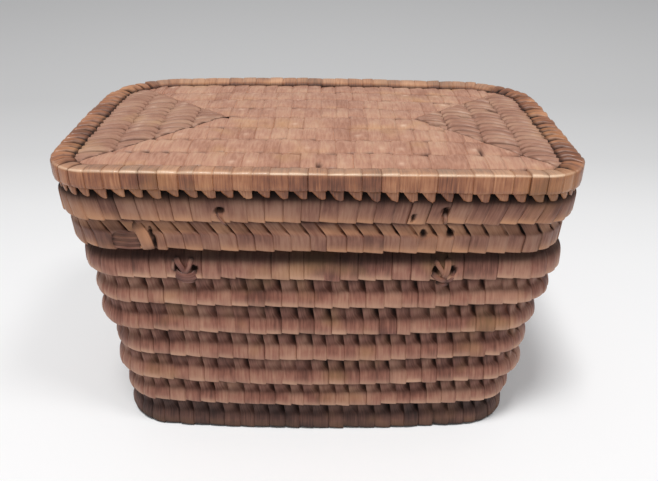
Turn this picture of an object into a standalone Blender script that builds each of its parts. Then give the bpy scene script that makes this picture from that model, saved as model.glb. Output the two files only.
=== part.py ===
"""A lidded rectangular coiled basket, built course by course as its maker builds it.

Frame: metres, +Z up. The origin is the centre of the underside, +X runs along the length and
the long side with the lacing ties faces -Y. The lid lifts off along +Z.
"""

import bisect
import math
from collections import namedtuple

import bmesh
import bpy

Outline = namedtuple("Outline", "length width corner back_corner side_bow end_bow")
Face = namedtuple("Face", "foot top lean waist depth")

# Coil stock: a bundle of cedar slats wrapped in split root, on edge in the walls, flat in the panels.
WALL_THICKNESS = 0.0070
PANEL_THICKNESS = 0.0062
EDGE_ROUND = 0.0014
FOOT_ROUND = 0.0010
PANEL_EDGE = 0.0009
SEWN_GAP = 0.0003

# How a wall coil stands: the inset of its foot, the height and the inset of its full face's top, then
# its inset half-way up the sunk row of stitch ends, and its inset at its head.
BODY_FACE = Face(0, 0.0065, 0.0015, 0.0024, 0.0027)
MOUTH_FACE = Face(0, 0.0073, 0.0005, 0.0016, 0.0043)
LID_LOWER_FACE = Face(0.0008, 0.0078, 0.0002, 0.0010, 0.0016)
LID_UPPER_FACE = Face(0.0008, 0.0084, 0.0002, 0.0015, 0.0031)

# The stitch ends under a body coil: how far apart they are, the height that they stand out at, and for
# each one's proud left edge and sunk right edge its place in the stitch and its inset. They start on the
# middle of the back, and each course is sewn a share of a stitch further on than the one below.
STITCH_PITCH = 0.00645
STITCH_END_HEIGHT = 0.0078
STITCH_EDGES = ((0.02, 0.0017), (0.87, 0.0040))
STITCH_STAGGER = 0.37

# The foot of the body, over its outside. A bow is how far a side swells past straight at its middle.
BASE_LENGTH = 0.1655
BASE_WIDTH = 0.0883
BASE_CORNER = 0.0156
BASE_BOW = 0.0049
BASE_RINGS = 2
END_BOW = 0.0015

# The mouth of the body, over its outside.
MOUTH_LENGTH = 0.1834
MOUTH_WIDTH = 0.1020
MOUTH_CORNER = 0.0157
MOUTH_BOW = 0.0031
BODY_COURSES = 7
BODY_COURSE_HEIGHT = 0.0131

# The narrow coil sewn inside the mouth, which the lid drops over.
FLANGE_THICKNESS = 0.0045
FLANGE_HEIGHT = 0.0125
FLANGE_RISE = 0.0060

# The lid, over its rim coil. Its foot stands a little outside the mouth: less at the ends.
LID_LENGTH = 0.1900
LID_WIDTH = 0.1131
LID_CORNER = 0.0165
LID_BACK_CORNER = 0.0270
LID_BOW = 0.0019
LID_LIP = 0.0016
LID_END_LIP = 0.0005
LID_COURSES = 2
LID_COURSE_HEIGHT = 0.0127
LID_RINGS = 3
RIM_WIDTH = 0.0080
RIM_HEIGHT = 0.0076
RIM_OVERHANG = 0.0012

# Two loops of split root laced through the mouth course, and the holes that they left in the lid.
TIE_PLACES = {"tie_left": -0.0500, "tie_right": 0.0465}
TIE_WIDTH = 0.0032
TIE_THICKNESS = 0.0010
TIE_BEND = 0.0003
TIE_LOW = 0.0030
TIE_HIGH = 0.0098
LACING_HOLE_PLACES = (-0.0342, 0.0333, 0.0447)
LACING_HOLE_DIAMETER = 0.0026
LACING_HOLE_RISE = 0.0045

# How finely the outlines and the rounded sections are drawn.
CORNER_STEPS = 4
LONG_STEPS = 4
SHORT_STEPS = 2
HOLE_SIDES = 10
TIGHTEST_CORNER = 0.0008
CUT_PAST = 0.0010

SEAM = BODY_COURSES * BODY_COURSE_HEIGHT
BASE = Outline(BASE_LENGTH, BASE_WIDTH, BASE_CORNER, BASE_CORNER, BASE_BOW, END_BOW)
MOUTH = Outline(MOUTH_LENGTH, MOUTH_WIDTH, MOUTH_CORNER, MOUTH_CORNER, MOUTH_BOW, END_BOW)
RIM = Outline(LID_LENGTH, LID_WIDTH, LID_CORNER, LID_BACK_CORNER, LID_BOW, END_BOW)


def clear_scene():
    for item in list(bpy.data.objects):
        bpy.data.objects.remove(item)


def finish(name, colour, roughness):
    """A Principled material for wood fibre: no metal, and a matt or satin surface."""
    material = bpy.data.materials.new(name)
    material.use_nodes = True
    shader = material.node_tree.nodes["Principled BSDF"]
    shader.inputs["Base Color"].default_value = (*colour, 1.0)
    shader.inputs["Roughness"].default_value = roughness
    shader.inputs["Metallic"].default_value = 0.0
    return material


def inset(shape, distance):
    """The outline at a distance inside another. Its corners turn about the same centres, and its
    bows flatten with its width, as the coils do towards the straight ones in the middle."""
    width = shape.width - 2 * distance
    corner = max(shape.corner - distance, TIGHTEST_CORNER)
    back_corner = max(shape.back_corner - distance, TIGHTEST_CORNER)
    left = width / shape.width
    bows = (shape.side_bow * left, shape.end_bow * left)
    return Outline(shape.length - 2 * distance, width, corner, back_corner, *bows)


def between(low, high, share):
    """The outline a share of the way up from one to another."""
    return Outline(*(a + (b - a) * share for a, b in zip(low, high)))


def front_face(shape, x):
    """Where the long side that faces -Y stands at x."""
    return -(shape.width / 2 + shape.side_bow * (1 - (2 * x / shape.length) ** 2))


def round_points(shape):
    """Points round an outline, anticlockwise: an arc at each corner and a run along each side."""
    half_length, half_width = shape.length / 2, shape.width / 2
    corners = []
    for side_x, side_y in ((1, 1), (-1, 1), (-1, -1), (1, -1)):
        radius = shape.back_corner if side_y > 0 else shape.corner
        corners.append((side_x * (half_length - radius), side_y * (half_width - radius), radius))
    flat = []
    for quarter, (x, y, radius) in enumerate(corners):
        for step in range(CORNER_STEPS + 1):
            angle = math.pi / 2 * (quarter + step / CORNER_STEPS)
            flat.append((x + radius * math.cos(angle), y + radius * math.sin(angle)))
        next_x, next_y, next_radius = corners[(quarter + 1) % 4]
        turned = math.pi / 2 * (quarter + 1)
        end = (next_x + next_radius * math.cos(turned), next_y + next_radius * math.sin(turned))
        start = flat[-1]
        steps = SHORT_STEPS if quarter % 2 else LONG_STEPS
        for step in range(1, steps):
            share = step / steps
            flat.append(tuple(a + (b - a) * share for a, b in zip(start, end)))
    bowed = []
    for x, y in flat:
        along, across = x / half_length, y / half_width
        bowed_x = x + shape.end_bow * (1 - across ** 2) * along
        bowed.append((bowed_x, y + shape.side_bow * (1 - along ** 2) * across))
    return bowed


def beyond(points, line):
    """The part of an outline that lies past y = line."""
    kept = []
    for (x, y), (next_x, next_y) in zip(points, points[1:] + points[:1]):
        if y > line:
            kept.append((x, y))
        if (y > line) != (next_y > line):
            kept.append((x + (next_x - x) * (line - y) / (next_y - y), line))
    return kept


def loops_of(shape, section):
    """One loop of points for each (inset, height) of a section, ready to be skinned."""
    return [[(x, y, z) for x, y in round_points(inset(shape, depth))] for depth, z in section]


def stations(shape, number):
    """Where the stitch ends of a course are along its outline: the side of the outline that each edge
    is on and the share along it, and the edge's place in STITCH_EDGES."""
    points = round_points(shape)
    sides = list(zip(points, points[1:] + points[:1]))
    runs = [0.0]
    for start, end in sides:
        runs.append(runs[-1] + math.dist(start, end))
    middle = next(i for i, (start, end) in enumerate(sides) if start[0] > 0 >= end[0] and start[1] > 0)
    start, end = sides[middle]
    origin = runs[middle] + (runs[middle + 1] - runs[middle]) * start[0] / (start[0] - end[0])
    count = round(runs[-1] / STITCH_PITCH)
    found = []
    for stitch in range(count):
        for edge, (place, _) in enumerate(STITCH_EDGES):
            run = origin + (stitch + place + STITCH_STAGGER * number) * runs[-1] / count
            run %= runs[-1]
            side = bisect.bisect_right(runs, run) - 1
            found.append((side, (run - runs[side]) / (runs[side + 1] - runs[side]), edge))
    return sorted(found)


def stitch_loop(shape, found, insets, z):
    """A loop with a point for each station, at the inset of its edge."""
    outlines = [round_points(inset(shape, depth)) for depth in insets]
    loop = []
    for side, share, edge in found:
        points = outlines[edge]
        (x, y), (next_x, next_y) = points[side], points[(side + 1) % len(points)]
        loop.append((x + (next_x - x) * share, y + (next_y - y) * share, z))
    return loop


def join(work, lower, upper, lower_places, upper_places):
    """Faces between two loops of unlike count: triangles, stepping along whichever is behind."""
    low, high = 0, 0
    while low < len(lower) or high < len(upper):
        next_low = lower_places[low + 1] if low + 1 < len(lower) else math.inf
        next_high = upper_places[high + 1] if high + 1 < len(upper) else math.inf
        here, there = lower[low % len(lower)], upper[high % len(upper)]
        if high >= len(upper) or (low < len(lower) and next_low <= next_high):
            work.faces.new((here, lower[(low + 1) % len(lower)], there))
            low += 1
        else:
            work.faces.new((here, upper[(high + 1) % len(upper)], there))
            high += 1


def skin(name, loops, material, parent, place=(0, 0, 0), ring=True, places=None):
    """Skins loops into one closed solid: a ring, or a block with filled ends. Two neighbours of unlike
    count are joined by triangles: the longer one has a point at each of the given places."""
    mesh = bpy.data.meshes.new(name)
    work = bmesh.new()
    rows = [[work.verts.new(point) for point in loop] for loop in loops]
    pairs = list(zip(rows, rows[1:])) + ([(rows[-1], rows[0])] if ring else [])
    for lower, upper in pairs:
        count = len(lower)
        if count != len(upper):
            join(work, lower, upper, *(places if len(row) == len(places) else range(len(row)) for row in (lower, upper)))
            continue
        for index in range(count):
            after = (index + 1) % count
            work.faces.new((lower[index], lower[after], upper[after], upper[index]))
    if not ring:
        work.faces.new(rows[-1])
        work.faces.new(list(reversed(rows[0])))
    work.to_mesh(mesh)
    work.free()
    mesh.shade_smooth()
    mesh.set_sharp_from_angle(angle=math.radians(38))
    solid = bpy.data.objects.new(name, mesh)
    solid.data.materials.append(material)
    solid.location = place
    solid.parent = parent
    bpy.context.scene.collection.objects.link(solid)
    return solid


def group(name, place):
    """An empty that carries the pieces of one body."""
    empty = bpy.data.objects.new(name, None)
    empty.location = place
    bpy.context.scene.collection.objects.link(empty)
    return empty


def course_section(thickness, height, face):
    """A wall coil on edge: its foot, its face bending away by a square law, then the sunk row of
    stitch ends under the next coil, and round inner edges."""
    swell = (FOOT_ROUND + face.top) / 2
    return (
        (face.foot + FOOT_ROUND, 0),
        (face.foot, FOOT_ROUND),
        (face.foot + (face.lean - face.foot) / 4, swell),
        (face.lean, face.top),
        (face.waist, (face.top + height) / 2),
        (face.depth, height),
        (thickness - EDGE_ROUND, height),
        (thickness, height - EDGE_ROUND),
        (thickness, EDGE_ROUND),
        (thickness - EDGE_ROUND, 0),
    )


def stitched_course(name, shape, base_z, number, material, parent):
    """A body coil with its row of stitch ends. The rows of the section over the full face have a point
    at each stitch's two edges, which stand out and sink in at one height and even out at the head."""
    pitch = BODY_COURSE_HEIGHT - SEWN_GAP
    section = course_section(WALL_THICKNESS, pitch, BODY_FACE)
    found = stations(shape, number)
    loops = loops_of(shape, section[:3])
    loops.append(stitch_loop(shape, found, [BODY_FACE.lean] * 2, BODY_FACE.top))
    loops.append(stitch_loop(shape, found, [depth for _, depth in STITCH_EDGES], STITCH_END_HEIGHT))
    loops.append(stitch_loop(shape, found, [BODY_FACE.depth] * 2, pitch))
    loops += loops_of(shape, section[6:])
    places = [side + share for side, share, _ in found]
    return skin(name, loops, material, parent, (0, 0, base_z), places=places)


def flat_section(width, thickness, edge):
    """A coil laid flat or a plain strip on edge, its four edges eased."""
    return (
        (edge, 0),
        (0, edge),
        (0, thickness - edge),
        (edge, thickness),
        (width - edge, thickness),
        (width, thickness - edge),
        (width, edge),
        (width - edge, 0),
    )


def rim_section():
    """The rim coil, squared outside by tight stitches and sloping down inside to meet the panel."""
    width, height = RIM_WIDTH, RIM_HEIGHT
    return (
        (0.75 * width, 0),
        (EDGE_ROUND, 0),
        (EDGE_ROUND * (1 - math.sqrt(0.5)), EDGE_ROUND * (1 - math.sqrt(0.5))),
        (0, EDGE_ROUND),
        (0, height - FOOT_ROUND),
        (FOOT_ROUND * (1 - math.sqrt(0.5)), height - FOOT_ROUND * (1 - math.sqrt(0.5))),
        (FOOT_ROUND, height),
        (0.50 * width, 0.97 * height),
        (0.95 * width, 0.82 * height),
        (width, 0.75 * height),
        (0.97 * width, 0.20 * height),
    )


def wall_course(name, shape, base_z, pitch, face, material, parent):
    """One closed turn of wall coil, standing on base_z."""
    section = course_section(WALL_THICKNESS, pitch - SEWN_GAP, face)
    return skin(name, loops_of(shape, section), material, parent, (0, 0, base_z))


def panel(prefix, shape, rings, base_z, material, parent):
    """A flat panel: rings of coil laid round a core, which is one coil doubled back on itself."""
    pitch = shape.width / (2 * rings + 2)
    for number in range(rings):
        outer = inset(shape, number * pitch)
        section = flat_section(pitch - SEWN_GAP, PANEL_THICKNESS, PANEL_EDGE)
        name = f"{prefix}_ring_{number + 1}"
        skin(name, loops_of(outer, section), material, parent, (0, 0, base_z))
    core = inset(shape, rings * pitch)
    top = PANEL_THICKNESS
    rise = ((PANEL_EDGE, 0), (0, PANEL_EDGE), (0, top - PANEL_EDGE), (PANEL_EDGE, top))
    for side, turn in (("back", 1), ("front", -1)):
        loops = []
        for depth, z in rise:
            half = beyond(round_points(inset(core, depth)), SEWN_GAP / 2 + depth)
            loops.append([(x * turn, y * turn, z) for x, y in half])
        skin(f"{prefix}_core_{side}", loops, material, parent, (0, 0, base_z), ring=False)


def block(name, low, high):
    """A cutter: a plain box between two corners, left out of the model."""
    corners = ((low[0], low[1]), (high[0], low[1]), (high[0], high[1]), (low[0], high[1]))
    loops = [[(x, y, z) for x, y in corners] for z in (low[2], high[2])]
    cutter = skin(name, loops, None, None, ring=False)
    cutter.hide_render = True
    cutter.display_type = "WIRE"
    return cutter


def cylinder_along_y(name, x, y_low, y_high, z, diameter):
    """A cutter: a round bar that runs through the front wall."""
    radius = diameter / 2
    angles = [2 * math.pi * side / HOLE_SIDES for side in range(HOLE_SIDES)]
    loops = [[(x + radius * math.sin(a), y, z + radius * math.cos(a)) for a in angles] for y in (y_low, y_high)]
    cutter = skin(name, loops, None, None, ring=False)
    cutter.hide_render = True
    cutter.display_type = "WIRE"
    return cutter


def cut(solid, cutter):
    modifier = solid.modifiers.new(cutter.name, "BOOLEAN")
    modifier.operation = "DIFFERENCE"
    modifier.solver = "EXACT"
    modifier.object = cutter


def lacing_tie(name, x, mouth_course, flange, material, parent):
    """A flat loop of root laced through two slits in the mouth course, with room for it in the flange."""
    foot = SEAM - BODY_COURSE_HEIGHT
    face = front_face(MOUTH, x)
    back = front_face(inset(MOUTH, WALL_THICKNESS), x)
    low, high = foot + TIE_LOW, foot + TIE_HIGH
    reach = SEWN_GAP + TIE_THICKNESS
    tall = high - low + TIE_THICKNESS
    bend = TIE_BEND + TIE_THICKNESS
    loop = Outline(back - face + 2 * reach, tall, bend, bend, 0, 0)
    middle_y, middle_z = (face + back) / 2, (low + high) / 2
    strap = []
    for depth, side in ((0, -1), (0, 1), (TIE_THICKNESS, 1), (TIE_THICKNESS, -1)):
        outline = round_points(inset(loop, depth))
        strap.append([(x + side * TIE_WIDTH / 2, middle_y + u, middle_z + v) for u, v in outline])
    skin(name, strap, material, parent)
    half_slit = TIE_WIDTH / 2 + SEWN_GAP
    half_leg = TIE_THICKNESS / 2 + SEWN_GAP
    for end, z in (("low", low), ("high", high)):
        slit_low = (x - half_slit, face - CUT_PAST, z - half_leg)
        slit_high = (x + half_slit, back + CUT_PAST, z + half_leg)
        cut(mouth_course, block(f"{name}_slit_{end}", slit_low, slit_high))
    room_low = (x - half_slit, back - CUT_PAST, low - half_leg)
    room_high = (x + half_slit, back + reach + SEWN_GAP, high + half_leg)
    cut(flange, block(f"{name}_room", room_low, room_high))


def build_body(materials):
    body = group("body", (0, 0, 0))
    courses = []
    for number in range(BODY_COURSES):
        shape = between(BASE, MOUTH, number / (BODY_COURSES - 1))
        name = f"body_course_{number + 1}"
        base_z = number * BODY_COURSE_HEIGHT
        if number < BODY_COURSES - 1:
            courses.append(stitched_course(name, shape, base_z, number + 1, materials["wall"], body))
        else:
            courses.append(wall_course(name, shape, base_z, BODY_COURSE_HEIGHT, MOUTH_FACE, materials["wall"], body))
    panel("base", inset(BASE, WALL_THICKNESS + SEWN_GAP), BASE_RINGS, 0, materials["base"], body)
    flange_shape = inset(MOUTH, WALL_THICKNESS + SEWN_GAP)
    flange_section = flat_section(FLANGE_THICKNESS, FLANGE_HEIGHT, EDGE_ROUND)
    flange_z = SEAM + FLANGE_RISE - FLANGE_HEIGHT
    loops = loops_of(flange_shape, flange_section)
    flange = skin("mouth_flange", loops, materials["flange"], body, (0, 0, flange_z))
    for name, x in TIE_PLACES.items():
        lacing_tie(name, x, courses[-1], flange, materials["tie"], body)


def build_lid(materials):
    lid = group("lid", (0, 0, SEAM))
    foot = inset(MOUTH, -LID_LIP)._replace(length=MOUTH_LENGTH + 2 * LID_END_LIP)
    top = inset(RIM, RIM_OVERHANG)
    courses = []
    for number in range(LID_COURSES):
        shape = between(foot, top, number / (LID_COURSES - 1))
        name = f"lid_course_{number + 1}"
        base_z = number * LID_COURSE_HEIGHT
        face = LID_UPPER_FACE if number == LID_COURSES - 1 else LID_LOWER_FACE
        courses.append(wall_course(name, shape, base_z, LID_COURSE_HEIGHT, face, materials["lid_wall"], lid))
    upper, upper_z = courses[-1], SEAM + (LID_COURSES - 1) * LID_COURSE_HEIGHT
    for number, x in enumerate(LACING_HOLE_PLACES):
        face = front_face(top, x)
        z = upper_z + LACING_HOLE_RISE
        ends = (face - CUT_PAST, face + WALL_THICKNESS + CUT_PAST)
        cut(upper, cylinder_along_y(f"lacing_hole_{number + 1}", x, *ends, z, LACING_HOLE_DIAMETER))
    rim_z = LID_COURSES * LID_COURSE_HEIGHT
    skin("lid_rim", loops_of(RIM, rim_section()), materials["rim"], lid, (0, 0, rim_z))
    panel("lid", inset(RIM, RIM_WIDTH + SEWN_GAP), LID_RINGS, rim_z, materials["panel"], lid)


def main():
    clear_scene()
    materials = {
        "wall": finish("body_wall_root", (0.27, 0.135, 0.085), 0.55),
        "base": finish("base_root", (0.20, 0.105, 0.070), 0.65),
        "flange": finish("flange_root", (0.30, 0.155, 0.095), 0.60),
        "lid_wall": finish("lid_wall_root", (0.27, 0.135, 0.085), 0.50),
        "rim": finish("rim_root", (0.38, 0.18, 0.10), 0.42),
        "panel": finish("lid_panel_root", (0.43, 0.23, 0.15), 0.45),
        "tie": finish("tie_root", (0.33, 0.17, 0.11), 0.60),
    }
    build_body(materials)
    build_lid(materials)


main()
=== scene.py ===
"""The looks of a lidded coiled basket of cedar root, in the order in which it is sewn.

Shapes are worked out in millimetres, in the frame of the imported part, and put into meshes in metres.
"""

import math

import bpy
import numpy as np
from mathutils import Matrix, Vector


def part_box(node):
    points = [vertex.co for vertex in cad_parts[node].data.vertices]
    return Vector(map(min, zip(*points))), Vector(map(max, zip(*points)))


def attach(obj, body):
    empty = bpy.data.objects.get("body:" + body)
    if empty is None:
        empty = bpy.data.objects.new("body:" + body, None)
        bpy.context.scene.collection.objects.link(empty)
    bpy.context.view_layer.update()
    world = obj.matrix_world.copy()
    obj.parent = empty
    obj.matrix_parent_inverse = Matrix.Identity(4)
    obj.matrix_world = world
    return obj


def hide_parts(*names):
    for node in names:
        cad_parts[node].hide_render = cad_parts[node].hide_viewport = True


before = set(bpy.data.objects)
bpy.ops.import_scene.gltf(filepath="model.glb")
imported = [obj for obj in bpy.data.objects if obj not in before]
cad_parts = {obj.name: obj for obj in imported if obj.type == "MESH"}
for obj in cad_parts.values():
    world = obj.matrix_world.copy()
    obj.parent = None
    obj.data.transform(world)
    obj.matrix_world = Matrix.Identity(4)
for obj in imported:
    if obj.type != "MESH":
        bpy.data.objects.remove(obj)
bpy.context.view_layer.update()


# Base: two rings of coil laid flat round a coil doubled back on itself, the first thing that is sewn.
# Each coil is a bundle of thin cedar slats, wrapped all round in strips of split root that also
# catch the coil next to it. The base has taken up the dark of whatever the basket stood on.

MM = 0.001
STITCH_PITCH, END_PITCH = 6.45, 4.1
# The points across a stitch, as shares of it, close together at its right edge. Its shape is given at
# seven knots, and the hats carry a value from each knot to the points beside it.
SAMPLES = np.array([0, 0.05, 0.10, 0.22, 0.34, 0.45, 0.58, 0.71, 0.84, 0.87, 0.90, 0.935, 0.97])
KNOTS = (0, 0.10, 0.45, 0.84, 0.90, 0.97, 1.0)
HATS = np.array([np.interp(SAMPLES, KNOTS, row) for row in np.eye(len(KNOTS))])


def linear(code):
    """An sRGB hex colour as linear red, green, blue and alpha."""
    values = [int(code[place:place + 2], 16) / 255 for place in (1, 3, 5)]
    return [v / 12.92 if v <= 0.04045 else ((v + 0.055) / 1.055) ** 2.4 for v in values] + [1.0]


def add(tree, kind, settings, inputs):
    """Adds a node, makes its settings, and gives each input a value or a link from a socket."""
    made = tree.nodes.new(kind)
    for key, value in settings.items():
        setattr(made, key, value)
    for key, value in inputs.items():
        if isinstance(value, bpy.types.NodeSocket):
            tree.links.new(value, made.inputs[key])
        else:
            made.inputs[key].default_value = value
    return made


def new_object(name, data):
    """A new object of the scene, made from a mesh, a lamp or a camera."""
    made = bpy.data.objects.new(name, data)
    bpy.context.scene.collection.objects.link(made)
    return made


PATCH_WIDTH, SUNNED_WIDTH = 11.765, 20.833


def split_root(name, tones, gap_shade_tone, rub_and_highlight_tone, roughness, grain=(0.5, 11.0), patchy=0.46, varied=0.22,
               relief=0.5, lumps=1.5, gold_tone=None):
    """Split and peeled cedar root, scraped flat and wrapped while damp, browned and waxed by handling.
    Fine strands run along each stitch, stitches differ a little in tone, patches of a finger's width are
    redder or yellower, edges are rubbed pale and painted with highlights, gaps are painted dark as shade.

    The stitches' own map counts stitches along the coil and millimetres round it. The grain is a
    strand's width and length in millimetres, coarser than in real root, where it would be too fine to
    show. The strands, the stitch's chance number and the patches are mixed and looked up in the row of
    tones; strands and patches also raise the surface."""
    material = bpy.data.materials.new(name)
    material.use_nodes = True
    tree = material.node_tree
    shader = tree.nodes["Principled BSDF"]
    # Strands: noise drawn out along each stitch, with a jump from one stitch to the next.
    where = add(tree, "ShaderNodeUVMap", {"uv_map": "stitches"}, {})
    split = add(tree, "ShaderNodeSeparateXYZ", {}, {0: where.outputs[0]})
    number = add(tree, "ShaderNodeMath", {"operation": "FLOOR"}, {0: split.outputs[0]})
    chance = add(tree, "ShaderNodeTexWhiteNoise", {"noise_dimensions": "1D"}, {"W": number.outputs[0]})
    axes = ((split.outputs[0], STITCH_PITCH / grain[0]), (split.outputs[1], 1.0 / grain[1]),
            (chance.outputs["Value"], 60.0))
    scaled = [add(tree, "ShaderNodeMath", {"operation": "MULTIPLY"}, {0: value, 1: factor}).outputs[0]
              for value, factor in axes]
    spot = add(tree, "ShaderNodeCombineXYZ", {}, dict(enumerate(scaled)))
    strands = add(tree, "ShaderNodeTexNoise", {},
                  {"Vector": spot.outputs[0], "Scale": 1.0, "Detail": 3.0, "Roughness": 0.6})
    # Tone: patches a finger wide, mixed with the strands and each stitch's own chance.
    place = add(tree, "ShaderNodeTexCoord", {}, {})
    wide = add(tree, "ShaderNodeTexNoise", {},
               {"Vector": place.outputs["Object"], "Scale": 1 / (PATCH_WIDTH * MM), "Detail": 3.0})
    first = add(tree, "ShaderNodeMix", {}, {0: varied, 2: strands.outputs["Fac"], 3: chance.outputs["Value"]})
    blend = add(tree, "ShaderNodeMix", {}, {0: patchy, 2: first.outputs[0], 3: wide.outputs["Fac"]})
    tone = add(tree, "ShaderNodeValToRGB", {}, {0: blend.outputs[0]})
    stops = np.linspace(0.35, 0.65, len(tones))
    for stop in stops[2:]:
        tone.color_ramp.elements.new(stop)
    for element, stop, code in zip(tone.color_ramp.elements, stops, tones):
        element.position = stop
        element.color = linear(code)
    # Sunned spots, rubbed edges with painted highlights, and gaps painted dark as shade are laid over the
    # tone in turn.
    gold = add(tree, "ShaderNodeTexNoise", {},
               {"Vector": place.outputs["Object"], "Scale": 1 / (SUNNED_WIDTH * MM), "Detail": 2.0})
    yellow = add(tree, "ShaderNodeMapRange", {},
                 {"Value": gold.outputs["Fac"], "From Min": 0.56, "From Max": 0.72, "To Max": 0.38})
    rub_and_highlight = add(tree, "ShaderNodeAttribute", {"attribute_name": "rub_and_highlight"}, {})
    gap_shade = add(tree, "ShaderNodeAttribute", {"attribute_name": "gap_shade"}, {})
    colour = tone.outputs["Color"]
    for share, code in ((yellow.outputs[0], gold_tone or rub_and_highlight_tone), (rub_and_highlight.outputs["Fac"], rub_and_highlight_tone),
                        (gap_shade.outputs["Fac"], gap_shade_tone)):
        layer = add(tree, "ShaderNodeMix", {"data_type": "RGBA"}, {0: share, 6: colour, 7: linear(code)})
        colour = layer.outputs[2]
    tree.links.new(colour, shader.inputs["Base Color"])
    # Gloss follows the strands, is lost in the gaps, and the strands and lumps stand up a little.
    dull = add(tree, "ShaderNodeMapRange", {},
               {"Value": strands.outputs["Fac"], "From Min": 0.3, "From Max": 0.7,
                "To Min": roughness + 0.10, "To Max": roughness - 0.06})
    gap_dulled = add(tree, "ShaderNodeMix", {}, {0: gap_shade.outputs["Fac"], 2: dull.outputs[0], 3: 0.95})
    tree.links.new(gap_dulled.outputs[0], shader.inputs["Roughness"])
    rise = add(tree, "ShaderNodeMath", {"operation": "MULTIPLY_ADD"},
               {0: wide.outputs["Fac"], 1: lumps, 2: strands.outputs["Fac"]})
    bump = add(tree, "ShaderNodeBump", {},
               {"Height": rise.outputs[0], "Strength": relief, "Distance": 0.0004})
    tree.links.new(bump.outputs[0], shader.inputs["Normal"])
    return material


def sewn_piece(name, grids, material, body, nodes):
    """One mesh from grids of points, each of them parts by rows by columns, in millimetres.

    A grid may be closed over its rows (round) and over its columns (long). Its map has one row and one
    column more where it is closed, so that no corner jumps back. Four corners of a cell go round it so
    that it faces outwards. The piece then rides on its body and stands for its nodes."""
    points, corners, maps, gap_shades, rubs_and_highlights, used = [], [], [], [], [], 0
    for grid in grids:
        parts, rows, columns = grid["x"].shape
        part, row, column = np.meshgrid(np.arange(parts), np.arange(rows - 1 + grid["round"]),
                                        np.arange(columns - 1 + grid["long"]), indexing="ij")
        next_row, next_column = (row + 1) % rows, (column + 1) % columns

        def vertex(r, c):
            """The number of the point in a row and column of its part."""
            return used + (part * rows + r) * columns + c

        cells = [vertex(row, column), vertex(row, next_column), vertex(next_row, next_column),
                 vertex(next_row, column)]
        corners.append(np.stack(cells, axis=-1).reshape(-1))
        around = ((row, column), (row, column + 1), (row + 1, column + 1), (row + 1, column))
        map_cells = [np.stack([grid[key][part, r, c] for r, c in around], axis=-1) for key in ("u", "v")]
        maps.append(np.stack(map_cells, axis=-1).reshape(-1))
        points.append(np.stack([grid["x"], grid["y"], grid["z"]], axis=-1).reshape(-1) * MM)
        gap_shades.append(np.clip(grid["gap_shade"], 0, 1).reshape(-1))
        rubs_and_highlights.append(np.clip(grid["rub_and_highlight"], 0, 1).reshape(-1))
        used += parts * rows * columns
    corners, maps, points = np.concatenate(corners), np.concatenate(maps), np.concatenate(points)
    mesh = bpy.data.meshes.new(name)
    mesh.vertices.add(used)
    mesh.vertices.foreach_set("co", points.astype(np.float32))
    mesh.loops.add(len(corners))
    mesh.loops.foreach_set("vertex_index", corners.astype(np.int32))
    mesh.polygons.add(len(corners) // 4)
    mesh.polygons.foreach_set("loop_start", np.arange(0, len(corners), 4, dtype=np.int32))
    mesh.update(calc_edges=True)
    mesh.uv_layers.new(name="stitches").data.foreach_set("uv", maps.astype(np.float32))
    # The painted shade, and the wear with painted highlights, go to the material as point weights.
    for key, values in (("gap_shade", gap_shades), ("rub_and_highlight", rubs_and_highlights)):
        layer = mesh.attributes.new(key, "FLOAT", "POINT")
        layer.data.foreach_set("value", np.concatenate(values).astype(np.float32))
    mesh.shade_smooth()
    mesh.materials.append(material)
    piece = new_object(name, mesh)
    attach(piece, body)
    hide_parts(*nodes)


def coil_grid(x, y, z, count, across, gap_shade, rub_and_highlight, first):
    """A closed coil's grid with its map: stitches counted from a first number, and millimetres round it."""
    part = np.append(SAMPLES, 1.0)
    stitch = np.append((np.arange(count)[:, None] + SAMPLES[None]).ravel(), count) + first
    girth = np.append(across, across[-1] + (across[1] - across[0]))
    u, v = np.broadcast_arrays(stitch[None, None, :], girth[None, :, None])
    return {"x": x[None], "y": y[None], "z": z[None], "u": u, "v": v, "gap_shade": gap_shade[None], "rub_and_highlight": rub_and_highlight[None],
            "round": 1, "long": 1}


def size_of(node):
    """A node's box in millimetres: its middle in x and y, its extents in x and y, its foot and head."""
    low, high = (np.array(corner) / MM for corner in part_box(node))
    middle, extent = (low + high) / 2, high - low
    return middle[:2], extent[:2], low[2], high[2]


SQUEEZED = 0.12


def mitred_corner(half, inset, radius, fan_x, fan_y, long_part, end_part):
    """One row of a flat ring's way round a corner, where x and y are positive: how many stitches have gone
    by since the straight part, and the point that each number comes to.

    The way is a straight side, an arc and a straight end, and the mitre is half-way round the arc.
    Stitches keep their place along the outermost row up to the mitre and from it; those that the mitre
    cuts off, more of them further in, are squeezed to almost nothing beside it."""
    a, b = half - inset
    radius = min(max(radius - inset, 0.6), a - fan_x - 0.1, b - fan_y - 0.1)
    angle = np.linspace(0, math.pi / 2, 17)
    arc = np.stack([a - radius + radius * np.sin(angle), b - radius + radius * np.cos(angle)], axis=-1)
    line = np.concatenate([[[fan_x, b]], arc, [[a, fan_y]]])
    run = np.append(0, np.cumsum(np.hypot(*np.diff(line, axis=0).T)))
    mitre = a - fan_x - radius + radius * math.pi / 4
    step = np.linspace(0, long_part + end_part, 8 * (long_part + end_part) + 1)
    past = step - long_part
    before = np.minimum((half[0] - fan_x) / long_part * step, a - fan_x + SQUEEZED * past)
    after = np.maximum(b - fan_y - (half[1] - fan_y) / end_part * (end_part - past), SQUEEZED * past)
    where = np.where(past <= 0, before * mitre / (a - fan_x),
                     mitre + after * (run[-1] - mitre) / (b - fan_y))
    return step, np.stack([np.interp(where, run, line[:, i]) for i in (0, 1)], axis=-1)


TOP_ROWS = np.array([0.0, 0.015, 0.04, 0.08, 0.14, 0.22, 0.32, 0.42, 0.52, 0.62, 0.71, 0.80, 0.87, 0.92,
                     0.96, 0.985, 1.0])
UNDER_ROWS = np.array([0.97, 0.8, 0.5, 0.2, 0.03])


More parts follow.
